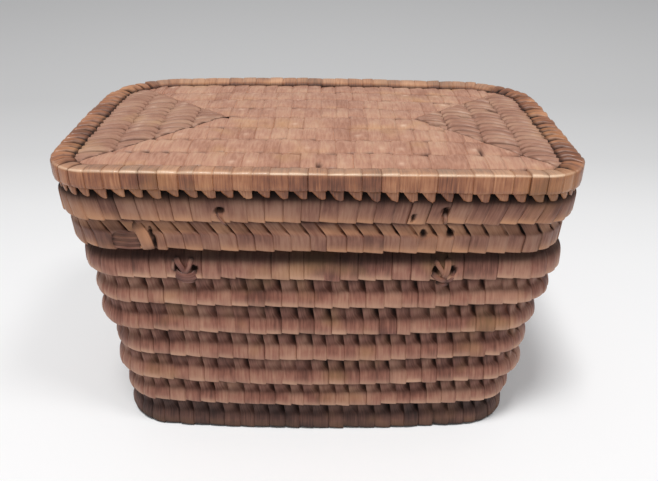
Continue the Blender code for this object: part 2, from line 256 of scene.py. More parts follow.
def flat_section(width, foot, thick):
    """The section of a flat coil from its outer edge over the top and back below: insets, heights, and how
    much a row is on the upper side and in the seam beside the next ring.

    The top is a crown: it falls from the middle by a square law, and by the fourteenth power at the edges."""
    off = np.abs(2 * TOP_ROWS - 1)
    crown = thick * (1 - 0.05 * off ** 2 - 0.04 * off ** 14)
    crown[[0, -1]] = thick * 0.952
    crown[[1, -2]] = thick * 0.962
    insets = np.concatenate([TOP_ROWS, UNDER_ROWS]) * width
    heights = np.concatenate([foot + crown, foot + thick * np.array([0.12, 0, 0, 0, 0.12])])
    upper = np.concatenate([np.ones(len(TOP_ROWS)), np.zeros(len(UNDER_ROWS))])
    seam = np.concatenate([np.clip(off * 9 - 7.2, 0, 1), np.zeros(len(UNDER_ROWS))])
    return insets, heights, upper, seam


FLAT_PLACES = np.array([0, 0.11, 0.47, 0.93, 0.955, 0.985, 1.0])
FLAT_DEPTHS = np.array([0.0, 0.13, 0.20, 0.08, -0.14, -0.14, 0.0])
RIDGE_PLACES = np.array([0, 0.12, 0.38, 0.57, 0.70, 0.92, 1.0])
RIDGE_DEPTHS = np.array([0.20, 0.62, 0.58, 0.12, -0.80, -1.25, -0.15])


def flat_stitches(rng, on_end):
    """The stitches of a flat ring, point by point: their travel round it, relief, lift, how far the seam is
    tugged down beside them, and their painted highlights.

    Along the sides they are flat with a thin joint between two; on the ends they are ridges with a deep
    gap, which is mirrored from one end to the other. Each has its own strength, lean and width."""
    total = len(on_end)
    number, ridged = np.arange(total), on_end[:, None]
    mirrored = (number > total / 2)[:, None]
    ridge_places = np.where(mirrored, 1 - RIDGE_PLACES[::-1], RIDGE_PLACES)
    ridge_depths = np.where(mirrored, RIDGE_DEPTHS[::-1], RIDGE_DEPTHS)
    share = (FLAT_PLACES * (1 - ridged) + ridge_places * ridged) @ HATS
    relief = (FLAT_DEPTHS * (1 - ridged) + ridge_depths * ridged) @ HATS
    relief = relief * np.clip(rng.normal(1, 0.22, total), 0.5, 1.6)[:, None]
    joint = np.clip(rng.normal(0.85, 0.5, total), 0.15, 1.6)[:, None]
    relief = np.where(relief < 0, relief * (joint * (1 - ridged) + ridged), relief)
    lift = rng.normal(0, 0.09, total)[:, None] + rng.normal(0, 0.22, total)[:, None] * (share - 0.5)
    shift = rng.normal(0, 0.06, total + 1)
    shift[-1] = shift[0]
    shift = shift[:-1, None] * (1 - share) + shift[1:, None] * share
    tug = np.clip(rng.normal(0.55, 0.7, total), 0, 1.4)[:, None]
    tug = tug * np.interp(SAMPLES, (0, 0.1, 0.30, 0.50, 0.80, 1), (0.3, 0.08, 0.08, 0.3, 1, 0.3))
    highlight_spots = np.clip(rng.normal(-0.1, 0.42, total), 0, 0.8)[:, None] * np.exp(-((share - 0.40) / 0.17) ** 2)
    return (part.ravel() for part in (number[:, None] + share + shift, relief, lift, tug, highlight_spots))


def flat_ring(outer, width, corners, bows, foot, head, dome, arch, seed, first, pits=(), down=False,
              draw=0.0):
    """A ring of flat coil whose stitches stand square to its sides and meet at mitres in its corners.

    Row by row from the ring's outer edge to its inner one, the outline shrinks by the row's inset and
    swells by its bows, as a square law of the share along each side. Height is the coil's own crown with
    its stitches, less the seam, plus the panel's dome. The ridges on the ends arch by a square law of the
    share across the coil. Corner radii, reaches and counts are pairs: at the back and at the front. The
    back corners are drawn forwards. A pit is a place, two half-widths and a depth. A ring that faces down
    is the same one upside down, with its stitches worn flatter."""
    rng = np.random.default_rng(seed)
    half = outer / 2
    reach = np.maximum(np.array(corners) + 0.3, width + 1.5)
    fan_x, fan_y = np.maximum(half[0] - reach, 8.0), np.maximum(half[1] - reach, 0.5)
    long_part = np.maximum(np.rint((half[0] - fan_x) / STITCH_PITCH), 1).astype(int)
    end_part = np.maximum(np.rint((half[1] - fan_y) / END_PITCH), 1).astype(int)
    long_count = 2 * np.rint(fan_x / STITCH_PITCH).astype(int)
    end_count = max(int(round(fan_y.sum() / END_PITCH)), 1)
    turn = long_part + end_part
    counts = [long_count[0] // 2, turn[0], end_count, turn[1], long_count[1], turn[1], end_count, turn[0],
              long_count[0] // 2]
    marks = np.append(0, np.cumsum(counts))
    total = int(marks[-1])
    left = (marks[1] + long_part[0], marks[3] + end_part[1])
    right = (marks[5] + long_part[1], marks[7] + end_part[0])
    number = np.arange(total)
    on_left = (number >= left[0]) & (number < left[1])
    on_right = (number >= right[0]) & (number < right[1])
    on_end = (on_left | on_right).astype(float)
    travel, relief, lift, tug, highlight_spots = flat_stitches(rng, on_end)
    blend = np.repeat(on_end, len(SAMPLES))
    fade = min(3.0, (left[1] - left[0]) / 2 - 0.1)
    bend = np.interp(travel, (left[0], left[0] + fade, left[1] - fade, left[1], right[0], right[0] + fade,
                              right[1] - fade, right[1]), (0, -1, -1, 0, 0, 1, 1, 0))
    insets, heights, upper, seam = flat_section(width, foot, head - foot)
    x, y, z, gap_shade, rub_and_highlight = (np.zeros((len(insets), len(travel))) for _ in range(5))
    for row, inset in enumerate(insets):
        a, b = half - inset
        knots = [[[0.0, 0.0, b]]]
        for mark, sx, sy in ((1, -1, 1), (3, -1, -1), (5, 1, -1), (7, 1, 1)):
            k = 0 if sy > 0 else 1
            step, part = mitred_corner(half, inset, corners[k], fan_x[k], fan_y[k], long_part[k], end_part[k])
            if sx * sy > 0:
                step, part = turn[k] - step[::-1], part[::-1]
            knots.append(np.column_stack([marks[mark] + step, part * (sx, sy)]))
        knot_travel, knot_x, knot_y = np.concatenate(knots).T
        flow = travel + arch * (1 - (2 * inset / width - 1) ** 2) / END_PITCH * upper[row] * bend
        px = np.interp(flow, knot_travel, knot_x, period=total)
        py = np.interp(flow, knot_travel, knot_y, period=total)
        room = np.hypot(np.roll(px, -1) - np.roll(px, 1), np.roll(py, -1) - np.roll(py, 1))
        room = np.clip(room / ((np.roll(travel, -1) - np.roll(travel, 1)) % total) / END_PITCH * 1.6, 0, 1)
        x[row] = px + bows[1] * (1 - (py / b) ** 2) * px / a * b / half[1]
        y[row] = py + bows[0] * (1 - (px / a) ** 2) * py / half[1]
        y[row] -= draw * (px / half[0]) ** 2 * np.clip(py / half[1], 0, 1)
        inner = inset / width
        # Painted shade: grooves are darker the deeper they are, the squeezed mitres show as dark lines, the
        # two ends are darkened as a whole, the seam is darkened where tugged down, and the underside is
        # darkened.
        mitre_dark = np.where(px < 0, 0.75, 0.4) * np.where(py > 0, 0.3, 1)
        ridge = 1 + (0.85 + 0.40 * inner ** 1.5 - 0.6 * np.clip(inner * 8 - 7, 0, 1) - 1) * blend
        z[row] = heights[row] + (relief * ridge + lift) * room * upper[row]
        z[row] -= seam[row] * (0.03 + 0.8 * tug) * (1 - 0.6 * blend) * room
        shade = np.clip(-relief * ridge * 0.9 - 0.06, 0, 0.75) * room + mitre_dark * (1 - room) + 0.26 * blend
        gap_shade[row] = shade * upper[row] + seam[row] * 0.85 * tug * (1 - 0.6 * blend) + (1 - upper[row]) * 0.3
        # Painted highlights: pale spots on some stitches, a third of the way in from the ring's outer edge.
        rub_and_highlight[row] = highlight_spots * math.exp(-((inner - 0.30) / 0.09) ** 2) * upper[row]
    z += dome(x, y) * upper[:, None]
    # Pits are dents painted dark inside as shade.
    for pit_x, pit_y, half_x, half_y, deep in pits:
        hole = np.exp(-(((x - pit_x) / half_x) ** 2 + ((y - pit_y) / half_y) ** 2) ** 2) * upper[:, None]
        z -= deep * hole
        gap_shade = np.maximum(gap_shade, hole)
    if down:
        z = foot + head - (heights[:, None] * 0.65 + z * 0.35) + 0.2
        x, y, z, gap_shade, rub_and_highlight, insets, heights = (rows[::-1] for rows in (x, y, z, gap_shade, rub_and_highlight, insets, heights))
    across = np.append(0, np.cumsum(np.hypot(np.diff(insets), np.diff(heights))))
    return coil_grid(x, y, z, total, across, gap_shade, rub_and_highlight * np.clip(1 - gap_shade, 0, 1), first)


def ring_outline(nodes, side_bow, end_bow, panel_width):
    """A flat ring's length and width without its bows, its bows, foot and head, from its nodes' boxes. The
    bows get smaller with the ring, as shares of the panel's width."""
    boxes = [size_of(node) for node in nodes]
    across = max(middle[1] + extent[1] / 2 for middle, extent, _, _ in boxes) * 2
    straight = across / (1 + 2 * side_bow / panel_width)
    bows = ((across - straight) / 2, end_bow * straight / panel_width)
    _, extent, foot, head = boxes[0]
    return np.array([extent[0] - 2 * bows[1], straight]), bows, foot, head


# The base was never rubbed by hands, so its root is dull as well as dark.
BASE_ROOT = split_root("dark_base_root", ("#3d261d", "#553629", "#694535", "#7a5240"), "#0e0806", "#7d5a3e",
                       0.55)
BASE_BOW, BASE_END_BOW, BASE_WIDTH = 4.9, 1.5, 88.3
FLAT_PITCH = 12.2
UNDER_WALL, UNDER_WALL_CORNER = 2.4, 10.7
LEAST_HALF_CORE = 0.15


def level_base(x, y):
    """No dome: the base is flat."""
    return np.zeros_like(x)


for ring, nodes in enumerate((["base_ring_1"], ["base_ring_2"], ["base_core_back", "base_core_front"])):
    outer, bows, foot, head = ring_outline(nodes, BASE_BOW, BASE_END_BOW, BASE_WIDTH)
    width = min(FLAT_PITCH, outer[1] / 2 - LEAST_HALF_CORE)
    corner = 0.8
    if ring == 0:
        # The outermost turn goes on under the foot of the wall, which is sewn to it.
        outer, width, corner = outer + 2 * UNDER_WALL, width + UNDER_WALL, UNDER_WALL_CORNER
    grid = flat_ring(outer, width, (corner, corner), bows, foot, head, level_base, 0.0, 11 + ring, 200 * ring,
                     down=True)
    sewn_piece(f"woven_base_{ring + 1}", [grid], BASE_ROOT, "basket", nodes)


# Body: seven turns of coil on edge. Each stitch wraps its coil and dives into the one above, so a full
# face of grained root stands proud below a sunk row of stitch ends, each high on its left edge and
# falling into a gap on its right that is painted black as shade. The bottom edges are uneven, as each
# stitch was pulled by hand.

OUTLINE_POINTS, SMOOTHED = 6001, 40


def rounded_path(length, width, corners, side_bow, end_bow, pitches, draw):
    """An outline as evenly spaced points with outward normals and a count of stitches along it.

    Straight sides and quarter-circle corners, of one radius at the back and one at the front; then each
    side swells by its bow times one minus the square of the share along it, and the back corners are
    drawn forwards. It starts at the middle of the back and goes anticlockwise. Normals are means
    over forty points either way. Stitches have one pitch on the long sides and one on the ends."""
    a, b = length / 2, width / 2
    turn = np.linspace(0, math.pi / 2, 60)
    pieces = []
    for quarter, (sx, sy) in enumerate(((-1, 1), (-1, -1), (1, -1), (1, 1))):
        r = corners[0] if sy > 0 else corners[1]
        angle = math.pi / 2 * (quarter + 1) + turn
        pieces.append(np.stack([sx * (a - r) + r * np.cos(angle), sy * (b - r) + r * np.sin(angle)], axis=-1))
    line = np.concatenate([[[0.0, b]], *pieces, [[0.0, b]]])
    for bowed in (False, True):
        run = np.append(0, np.cumsum(np.hypot(*np.diff(line, axis=0).T)))
        even = np.linspace(0, run[-1], OUTLINE_POINTS)
        x, y = (np.interp(even, run, line[:, i]) for i in (0, 1))
        if not bowed:
            back = draw * (x / a) ** 2 * np.clip(y / b, 0, 1)
            line = np.stack([x + end_bow * (1 - (y / b) ** 2) * x / a,
                             y + side_bow * (1 - (x / a) ** 2) * y / b - back], axis=-1)
    along = np.stack([np.diff(x), np.diff(y)], axis=-1)
    mean = np.ones(2 * SMOOTHED + 1) / (2 * SMOOTHED + 1)
    wrap = np.concatenate([along[-SMOOTHED - 1:], along, along[:SMOOTHED]])
    along = np.stack([np.convolve(wrap[:, i], mean, "valid") for i in (0, 1)], axis=-1)
    along /= np.linalg.norm(along, axis=1)[:, None]
    nx, ny = along[:, 1], -along[:, 0]
    pitch = pitches[0] + (pitches[1] - pitches[0]) * np.abs(nx)
    stitch = np.append(0, np.cumsum((1 / pitch[1:] + 1 / pitch[:-1]) / 2 * np.diff(even)))
    count = int(round(stitch[-1]))
    return {"x": x, "y": y, "nx": nx, "ny": ny, "run": even, "stitch": stitch * count / stitch[-1],
            "count": count}


def along_path(path, travel):
    """The points and outward normals of an outline at stitch numbers counted along it."""
    where = np.interp(np.mod(travel, path["count"]), path["stitch"], path["run"])
    return (np.interp(where, path["run"], path[key]) for key in ("x", "y", "nx", "ny"))


def slow_wave(rng, count, size):
    """A closed wave round the coil, a value for each stitch and one more: a sum of sines with two to six
    turns, of random heights that shrink with the turns."""
    t = np.linspace(0, 2 * math.pi, count + 1)
    wave = sum(rng.normal() / (n + 1) * np.sin(n * t + rng.uniform(0, 6.3)) for n in range(2, 7))
    return wave * size


HALF_LENGTH = 92.0


def risen(lift, x):
    """How far a coil rises over its level at x, from its rise at the ends, in the middle and to the right:
    a square law of the share along the half-length, and a slope."""
    share = np.clip(x / HALF_LENGTH, -1, 1)
    return lift[0] + (lift[1] - lift[0]) * (1 - share ** 2) + lift[2] * share


UNEVEN = 0.05


def wrapped_coil(path, section, stitch, foot, seed, first, drift=0.0, phase=0.0, end_stitch=None, pits=(),
                 lifts=((0, 0, 0), (0, 0, 0))):
    """A wall coil with its stitches. Every row of the section has an inset from the outline and a height;
    places and depths, given at the knots of a stitch, move the row's points along and out of the coil.

    A point stands on the outline at (stitch number + place + lean of the row), inside it by the row's
    inset less the stitch's depth there. Each stitch has its own strength, tilt and width. On the short
    ends the stitch may give way to another, mirrored on the right. A pit is a flat-bottomed oval dent: a
    place along the front, a height, two half-widths and a depth. The coil's foot and head rise by their
    own lifts, and what is between them by a mean of the two. The phase moves its stitches on by a share
    of one, and they are counted from a first number, so that no two coils have the same tones."""
    rng = np.random.default_rng(seed)
    count = path["count"]
    height = section["height"][:, None, None]
    share = (stitch["places"] @ HATS)[:, None, :]
    relief = (stitch["depths"] @ HATS)[:, None, :]
    number = np.arange(count)[None, :, None]
    if end_stitch is not None:
        side = np.interp(number + 0.5, path["stitch"], np.abs(path["nx"]))
        side = np.clip((side - 0.35) / 0.5, 0, 1)
        on_left = [end_stitch[key] for key in ("places", "depths", "dark")]
        on_right = [1 - on_left[0][:, ::-1], on_left[1][:, ::-1], on_left[2][:, ::-1]]
        end_share, end_relief, end_dark = (
            np.where(number > count / 2, (mirrored @ HATS)[:, None, :], (plain @ HATS)[:, None, :])
            for plain, mirrored in zip(on_left, on_right))
        share = share * (1 - side) + end_share * side
        relief = relief * (1 - side) + end_relief * side
    gain = np.clip(rng.normal(1.0, 0.28, count), 0.3, 1.8)[None, :, None]
    slack, tilt, edge = (rng.normal(0, 1, count)[None, :, None] for _ in range(3))
    joint = np.clip(rng.normal(0, UNEVEN, count + 1), -0.13, 0.13)
    joint[-1] = joint[0]
    moved = joint[:-1][None, :, None] * (1 - share) + joint[1:][None, :, None] * share
    face = stitch["face"][:, None, None]
    fanned = np.interp(number + 0.5, path["stitch"], -path["x"] * path["ny"] / HALF_LENGTH) * stitch["fan"][0]
    travel = number + share + moved + (stitch["lean"] / STITCH_PITCH)[:, None, None] + phase
    travel = travel + (fanned + stitch["fan"][1]) * ((height - 6) / STITCH_PITCH) * face
    out = relief * gain + face * (0.09 * slack + 0.26 * tilt * (share - 0.5))
    wave_in, wave_up = (slow_wave(rng, count, size) for size in (0.30, 0.22))
    out = out + np.interp(travel, np.arange(count + 1), wave_in, period=count)
    up = stitch["ragged"][:, None, None] * (0.17 * edge - 0.50 * (share - 0.5))
    up = up + np.interp(travel, np.arange(count + 1), wave_up, period=count)
    shape = (len(section["inset"]), count * len(SAMPLES))
    travel, out, up = (np.broadcast_to(part, (shape[0], count, len(SAMPLES))).reshape(shape)
                       for part in (travel, out, up))
    x, y, nx, ny = along_path(path, travel)
    # Painted shade: a point is darker the deeper it lies in a gap, each row adds its own painted shade, the
    # rope's crescents are darkened, and pits are painted dark inside.
    gap_shade = np.clip((-out - 0.16) * stitch["black"], 0, 1) * stitch["hold"][:, None] + section["shade"][:, None]
    if end_stitch is not None:
        gap_shade = gap_shade + (end_dark * side).reshape(shape)
    for pit_x, pit_up, half_x, half_up, deep in pits:
        hole = ((x + drift - pit_x) / half_x) ** 2 + ((section["height"][:, None] - pit_up) / half_up) ** 2
        hole = np.exp(-hole ** 3) * (y < 0) * (1 - section["inside"][:, None])
        out = out - deep * hole
        gap_shade = np.maximum(gap_shade, hole)
    norm = np.hypot(nx, ny)
    inset = section["inset"][:, None] + out * section["way"][:, :1]
    x, y = x - nx / norm * inset + drift, y - ny / norm * inset
    level = np.clip(section["height"] / section["height"].max(), 0, 1)[:, None]
    z = foot + section["height"][:, None] + up + out * section["way"][:, 1:]
    z = z + risen(lifts[0], x) * (1 - level) + risen(lifts[1], x) * level
    z = np.maximum(z, -0.1)  # the lowest stitches are pressed flat by what the basket stands on
    across = np.append(0, np.cumsum(np.hypot(np.diff(section["inset"]), np.diff(section["height"]))))
    # The rubbed pale edges and painted highlights vary from stitch to stitch.
    worn = np.clip(rng.normal(0.9, 0.4, count), 0, 1.8)
    if end_stitch is not None:
        worn = np.clip(worn, 0.75, 1.15) * (1 - 0.8 * side[0, :, 0])
    worn = np.repeat(worn, len(SAMPLES))
    rub_and_highlight = section["rub_and_highlight"][:, None] * worn * np.clip(1 - gap_shade, 0, 1)
    return coil_grid(x, y, z, count, across, gap_shade, rub_and_highlight, first)


def edge_section(points):
    """A section of a coil from (inset, height) points, whose stitches stand out square to it. Its weights say
    how far a point is sunk, hidden inside, darkened with painted shade, rubbed pale and painted with a
    highlight, and how ragged it is."""
    points = np.array(points)
    along = np.roll(points, -1, axis=0) - np.roll(points, 1, axis=0)
    along /= np.linalg.norm(along, axis=1)[:, None]
    section = {key: np.zeros(len(points)) for key in ("sunk", "inside", "shade", "rub_and_highlight", "low")}
    section["inset"], section["height"] = points.T
    section["way"] = np.stack([-along[:, 1], along[:, 0]], axis=-1)
    return section


def wall_section(pitch, set_back, rows):
    """The section of a wall coil, from under its foot up the face, over the shoulder and down the inside.
    The foot is set back a little. Each row going up is an inset, a height, how much painted shade darkens it
    and how far it is sunk into the row of stitch ends. Its stitches stand straight out."""
    foot = [(3.4, 0.0), (1.9, 0.0), (0.75, 0.07), (0.27, 0.30), (0.05, 0.70), (0.0, 1.15)]
    foot = [(inset + set_back, height) for inset, height in foot]
    rows = np.array(rows)
    inner = [(5.4, min(rows[-1, 1], pitch + 0.9)), (6.5, pitch - 0.9), (7.0, pitch - 2.2), (7.1, 9.0),
             (7.2, 7.0), (7.1, 5.0), (7.0, 3.0), (6.7, 1.2), (5.9, 0.3), (4.8, 0.0)]
    section = edge_section(np.concatenate([foot, rows[:, :2], inner]))
    section["way"][:] = (-1.0, 0.0)
    face = slice(len(foot), -len(inner))
    section["sunk"][face] = rows[:, 3]
    section["shade"][face] = rows[:, 2]
    # Painted shade under the foot.
    section["shade"][:4] = (0.9, 0.9, 0.6, 0.15)
    section["inside"][-len(inner):] = 1
    # The bottom edge is rubbed pale, partly wear and partly a painted highlight where it catches the light.
    section["rub_and_highlight"][3:len(foot) + 3] = (0.3, 0.6, 0.55, 0.3, 0.12, 0.04)
    section["low"][:len(foot)] = 1
    section["low"][len(foot):len(foot) + 4] = (0.75, 0.5, 0.25, 0.1)
    return section


FACE_PLACES = (0, 0.11, 0.48, 0.945, 0.962, 0.985, 1.0)
FACE_DEPTHS = (0.0, 0.12, 0.18, 0.04, -0.23, -0.23, 0.0)


def stitch_rows(section, end_places, end_depths, slant, bend_from, black=1.0, fan=(0.0, 0.0)):
    """The places and depths of a stitch at each row: a fine line between two stitches on the face, and
    the given stitch end where the section is sunk. Slant is how far the end leans back, in millimetres,
    for each millimetre of height over the bend, which is rounded off. The fan is how far a whole
    stitch spreads towards the nearer corner, and how far it leans on, for each millimetre of height."""
    sunk, inside = section["sunk"][:, None], section["inside"][:, None]
    places = np.array(FACE_PLACES)[None] * (1 - sunk) + np.array(end_places)[None] * sunk
    depths = np.array(FACE_DEPTHS)[None] * (1 - sunk) + np.array(end_depths)[None] * sunk
    depths = np.where(inside > 0, -np.array(FACE_DEPTHS)[None] * 1.6, depths)
    face = 1 - section["inside"]
    above = section["height"] - bend_from
    lean = -slant * 0.5 * np.log1p(np.exp(np.clip(above / 0.5, -30, 30))) * face
    return {"places": places, "depths": depths, "lean": np.maximum(lean, -slant * 5.5), "face": face,
            "ragged": section["low"] * face, "black": black, "fan": fan, "hold": np.where(face > 0, 1.0, 0.4)}


# The wall's root has been browned by age and waxed by hands; the foot's is darker, partly with dirt and
# damp and partly as painted shade.
ROOT_TONES = ("#673c2e", "#804e3e", "#976250", "#a5755f", "#b18069")
WALL_ROOT = split_root("aged_wall_root", ROOT_TONES, "#1f100b", "#cfa184", 0.48, grain=(0.85, 10.0),
                       relief=0.4, gold_tone="#b48a58")
FOOT_ROOT = split_root("aged_and_shaded_foot_root", ("#3c211a", "#533228", "#6a4437", "#7d5342"), "#0e0806", "#a5764f",
                       0.55)

BODY_PITCH, BODY_COUNT = 13.1, 7
FOOT_CORNER, MOUTH_CORNER = 15.6, 15.7
FOOT_BOW, MOUTH_BOW, END_BOW = 4.9, 3.1, 1.5
FIRST_CORNER_ROUNDER = 2.0
FOOT_DRAWN_IN = 2.0
STAGGER = 0.37
SQUARE_PLACES = (0, 0.06, 0.36, 0.60, 0.76, 0.955, 1.0)
SQUARE_DEPTHS = (0.55, 0.55, 0.20, -0.35, -0.95, -1.5, 0.55)
# Each course was pulled a little out of true as it was sewn: its drift along, its growth in length, and
# the lifts of the joints from under the first course to over the last. The lower courses are darkened more.
DRIFT = (-1.3, -0.9, 0.1, 0.7, -0.4, 1.1, 1.5)
SWELL = (1.8, -1.4, 0.9, -3.0, -1.0, -0.2, 0.6)
COURSE_LIFTS = ((0, 0, 0), (2.2, 1.5, 0), (2.6, 0.4, 0), (2.7, 0.8, 0), (2.9, 1.1, 0), (2.7, 1.5, 0),
                (1.35, 1.5, 0), (0, 0, 0))
LOWER_DARKENING = (0.08, 0.09, 0.07, 0.05, 0.04, 0.02, 0.0)
# Rows are (inset, height, painted shade, sunk): the painted shade lies under each course's lip.
BODY_ROWS = (
    (0.03, 2.1, 0, 0), (0.13, 2.85, 0, 0), (0.29, 3.6, 0.02, 0), (0.5, 4.3, 0.05, 0), (0.78, 5.0, 0.09, 0),
    (1.11, 5.7, 0.14, 0), (1.5, 6.4, 0.18, 0.05), (1.85, 6.9, 0.21, 0.3), (2.15, 7.5, 0.19, 0.65),
    (2.3, 8.2, 0.14, 0.9), (2.32, 9.0, 0.12, 1), (2.30, 9.8, 0.20, 1), (2.30, 10.8, 0.42, 1),
    (2.30, 11.8, 0.72, 1), (2.30, 12.5, 0.9, 1), (2.35, 13.2, 1, 0.3), (2.4, 14.1, 1, 0))
# The mouth course is painted with shade where it lies under the lid's foot.
MOUTH_ROWS = (
    (0.02, 2.2, 0, 0), (0.06, 3.3, 0.02, 0), (0.12, 4.4, 0.06, 0), (0.2, 5.4, 0.13, 0), (0.32, 6.4, 0.24, 0),
    (0.5, 7.3, 0.38, 0), (0.75, 8.2, 0.55, 0), (1.1, 9.1, 0.73, 0), (1.6, 10.0, 0.82, 0),
    (2.2, 10.9, 0.80, 0), (2.9, 11.7, 0.72, 0), (3.6, 12.4, 0.60, 0), (4.4, 12.9, 0.46, 0),
    (4.9, 13.08, 0.38, 0))
# The pits beside the ties are painted dark inside as shade.
MOUTH_PITS = ((-52.0, 5.4, 1.3, 2.4, 2.2), (-46.2, 4.6, 1.5, 1.8, 2.2), (43.6, 4.6, 1.3, 2.0, 2.2),
              (49.7, 4.9, 1.5, 2.0, 2.2))


def course_path(node, side_bow, corners, end_bow=END_BOW, pitches=(STITCH_PITCH, STITCH_PITCH), swell=0.0,
                draw=0.0):
    """A course's outline and foot, from its node's box, the bows of its sides and how much longer it is."""
    _, extent, foot, _ = size_of(node)
    path = rounded_path(extent[0] - 2 * end_bow, extent[1] - 2 * side_bow, corners, side_bow, end_bow,
                        pitches, draw)
    path["x"] *= 1 + swell / extent[0]
    return path, foot


for number in range(1, BODY_COUNT + 1):
    at_foot, at_mouth = number == 1, number == BODY_COUNT
    share = (number - 1) / (BODY_COUNT - 1)
    corner = FOOT_CORNER + (MOUTH_CORNER - FOOT_CORNER) * share + FIRST_CORNER_ROUNDER * at_foot
    path, foot = course_path(f"body_course_{number}", FOOT_BOW + (MOUTH_BOW - FOOT_BOW) * share,
                             (corner, corner), swell=SWELL[number - 1])
    section = wall_section(BODY_PITCH, 0.0, MOUTH_ROWS if at_mouth else BODY_ROWS)
    section["shade"] = np.minimum(section["shade"] + LOWER_DARKENING[number - 1], 1)
    if at_foot:
        path["y"] *= 1 - FOOT_DRAWN_IN / np.ptp(path["y"])
        # Painted shade where the foot course meets the floor.
        section["shade"][:8] = (1, 1, 1, 0.9, 0.7, 0.5, 0.35, 0.22)
    rows = stitch_rows(section, SQUARE_PLACES, SQUARE_DEPTHS, 0.0 if at_mouth else 0.14, 6.6, black=0.52)
    grid = wrapped_coil(path, section, rows, foot, 40 + number, 1000 + 100 * number, drift=DRIFT[number - 1],
                        phase=STAGGER * number, pits=MOUTH_PITS if at_mouth else (),
                        lifts=COURSE_LIFTS[number - 1:number + 1])
    sewn_piece(f"woven_body_{number}", [grid], FOOT_ROOT if at_foot else WALL_ROOT, "basket",
               [f"body_course_{number}"])


# Inner coil of the mouth: a narrow coil sewn inside the last turn, standing up a little so that the lid
# drops over it. It is hidden while the lid is on, so its place and height are what such baskets have.

# Less handled and out of the light, so its root has stayed paler and dull.
FLANGE_ROOT = split_root("flange_root", ("#6d4433", "#8d5f4a", "#a97a60", "#bd8c6e"), "#1a100c", "#c39468",
                         0.5)
FLANGE_POINTS = [(1.2, 0.0), (0.4, 0.3), (0.05, 1.2), (0.0, 3.0), (0.0, 6.0), (0.0, 9.0), (0.1, 11.0),
                 (0.8, 12.1), (2.2, 12.5), (3.6, 12.1), (4.3, 11.0), (4.5, 9.0), (4.5, 6.0), (4.5, 3.0),
                 (4.3, 0.8), (3.4, 0.0)]
FLANGE_SCALE, FLANGE_CORNER, FLANGE_DRIFT = 0.857, 8.4, 1.0
section = edge_section(FLANGE_POINTS)
path, foot = course_path("mouth_flange", MOUTH_BOW * FLANGE_SCALE, (FLANGE_CORNER, FLANGE_CORNER),
                         END_BOW * FLANGE_SCALE)
rows = stitch_rows(section, SQUARE_PLACES, SQUARE_DEPTHS, 0.0, 6.0)
grid = wrapped_coil(path, section, rows, foot, 61, 2000, drift=FLANGE_DRIFT)
sewn_piece("woven_flange", [grid], FLANGE_ROOT, "basket", ["mouth_flange"])


# Ties: what is left of two fastenings of narrow root strip, laced through the mouth coil and knotted
# over it. Each is a tangle of flat strips with a hole on either side where they go through, painted dark
# as shade.

STRIP_ROWS, STRIP_AROUND = 22, 10


def strip_grid(runs, place, first):
    """Flat strips. Each run is points of (along, up, out), a width and a thickness. Its line is a smooth
    cubic through the points, whose slope at each is half the step from the one before to the one after.
    Its section is a flat oval turned with its broad side out, drawn together at both ends, with painted
    shade there."""
    t = np.linspace(0, 1, STRIP_ROWS)
    tight = (np.clip(np.minimum(t, 1 - t) * 14, 0, 1) ** 0.5)[:, None, None]
    angle = np.linspace(0, 2 * math.pi, STRIP_AROUND, endpoint=False)
    shape = (STRIP_ROWS, STRIP_AROUND + 1)
    points, us, vs, gap_shades = [], [], [], []
    for order, (knots, width, thick) in enumerate(runs):
        knots = np.array(knots, float)
        spot = t * (len(knots) - 1)
        i = np.minimum(spot.astype(int), len(knots) - 2)
        f = (spot - i)[:, None]
        knots = np.concatenate([[2 * knots[0] - knots[1]], knots, [2 * knots[-1] - knots[-2]]])
        p0, p1, p2, p3 = (knots[i + j] for j in range(4))
        line = 0.5 * (2 * p1 + (p2 - p0) * f + (2 * p0 - 5 * p1 + 4 * p2 - p3) * f ** 2
                      + (3 * p1 - p0 - 3 * p2 + p3) * f ** 3)
        line = np.stack(place(*line.T), axis=-1)
        run = np.append(0, np.cumsum(np.linalg.norm(np.diff(line, axis=0), axis=1)))
        along = np.gradient(line, axis=0)
        along /= np.linalg.norm(along, axis=1)[:, None]
        out = np.array([0.0, -1.0, 0.0]) - along * (-along[:, 1:2])
        out /= np.linalg.norm(out, axis=1)[:, None]
        wide = np.cross(along, out)
        ring = (wide[:, None] * (np.cos(angle) * width / 2)[None, :, None] * tight
                + out[:, None] * (-np.sin(angle) * thick / 2)[None, :, None] * tight)
        points.append(line[:, None] + ring[:, ::-1])
        turned = np.cos(np.append(angle, 2 * math.pi))[::-1]
        us.append(np.broadcast_to(first + 3 * order + turned * width / 13, shape))
        vs.append(np.broadcast_to(run[:, None], shape))
        # Painted shade at both ends, where the strip goes into a hole.
        dark = 0.9 * (np.exp(-(run / 1.7) ** 2) + np.exp(-((run[-1] - run) / 1.5) ** 2))
        gap_shades.append(np.broadcast_to(dark[:, None], (STRIP_ROWS, STRIP_AROUND)))
    points = np.array(points)
    return {"x": points[..., 0], "y": points[..., 1], "z": points[..., 2], "u": np.array(us),
            "v": np.array(vs), "gap_shade": np.array(gap_shades), "rub_and_highlight": np.zeros(points.shape[:3]),
            "round": 0, "long": 1}


def on_front(node, side_bow, x_at, drift, lift):
    """A rule that sets (along, up, out) on the bowed front of a node's course, from a place x along it."""
    _, extent, foot, _ = size_of(node)
    a, b = extent[0] / 2 - END_BOW, extent[1] / 2 - side_bow

    def place(along, up, out):
        """The point in millimetres."""
        x = x_at + along
        return x, -(b + side_bow * (1 - ((x - drift) / a) ** 2)) - out, foot + up + risen(lift, x)

    return place


